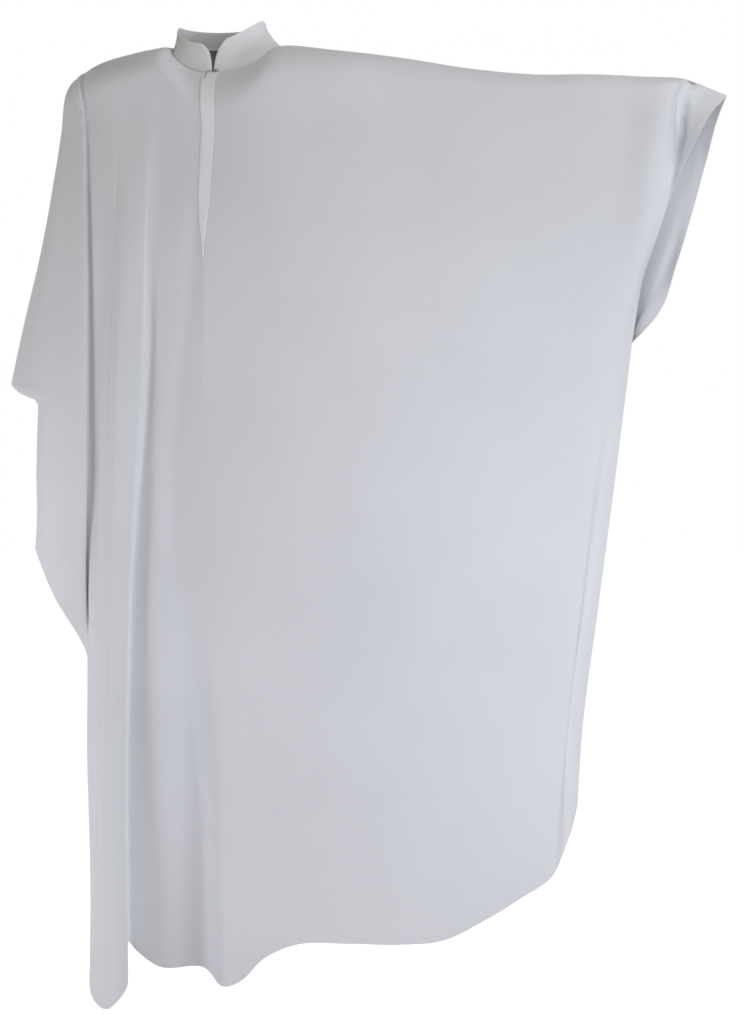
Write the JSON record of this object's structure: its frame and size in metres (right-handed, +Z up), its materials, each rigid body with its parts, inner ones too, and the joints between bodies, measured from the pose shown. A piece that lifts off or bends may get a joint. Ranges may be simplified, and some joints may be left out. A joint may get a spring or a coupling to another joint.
{
  "type": "alb robe",
  "caption": "Full-length wide white alb with stand collar, short front placket and wide straight sleeves, worn hollow form with one arm raised.",
  "frame": {"origin": "centre of the neck base at shoulder height, where the wearer carries the robe", "axes": "+Z up, -Y the way the robe faces, +X the wearer's left, the side of the raised arm"},
  "size_m": [1.1544, 0.3422, 1.5327],
  "materials": {
    "white_crepe": "plain opaque white crepe cloth, matt",
    "hook_steel": "dark oxidised steel wire"
  },
  "bodies": {
    "root": {"front": "white_crepe", "back": "white_crepe", "collar": "white_crepe", "placket": "white_crepe", "hook": "hook_steel", "eye": "hook_steel"}
  },
  "joints": []
}
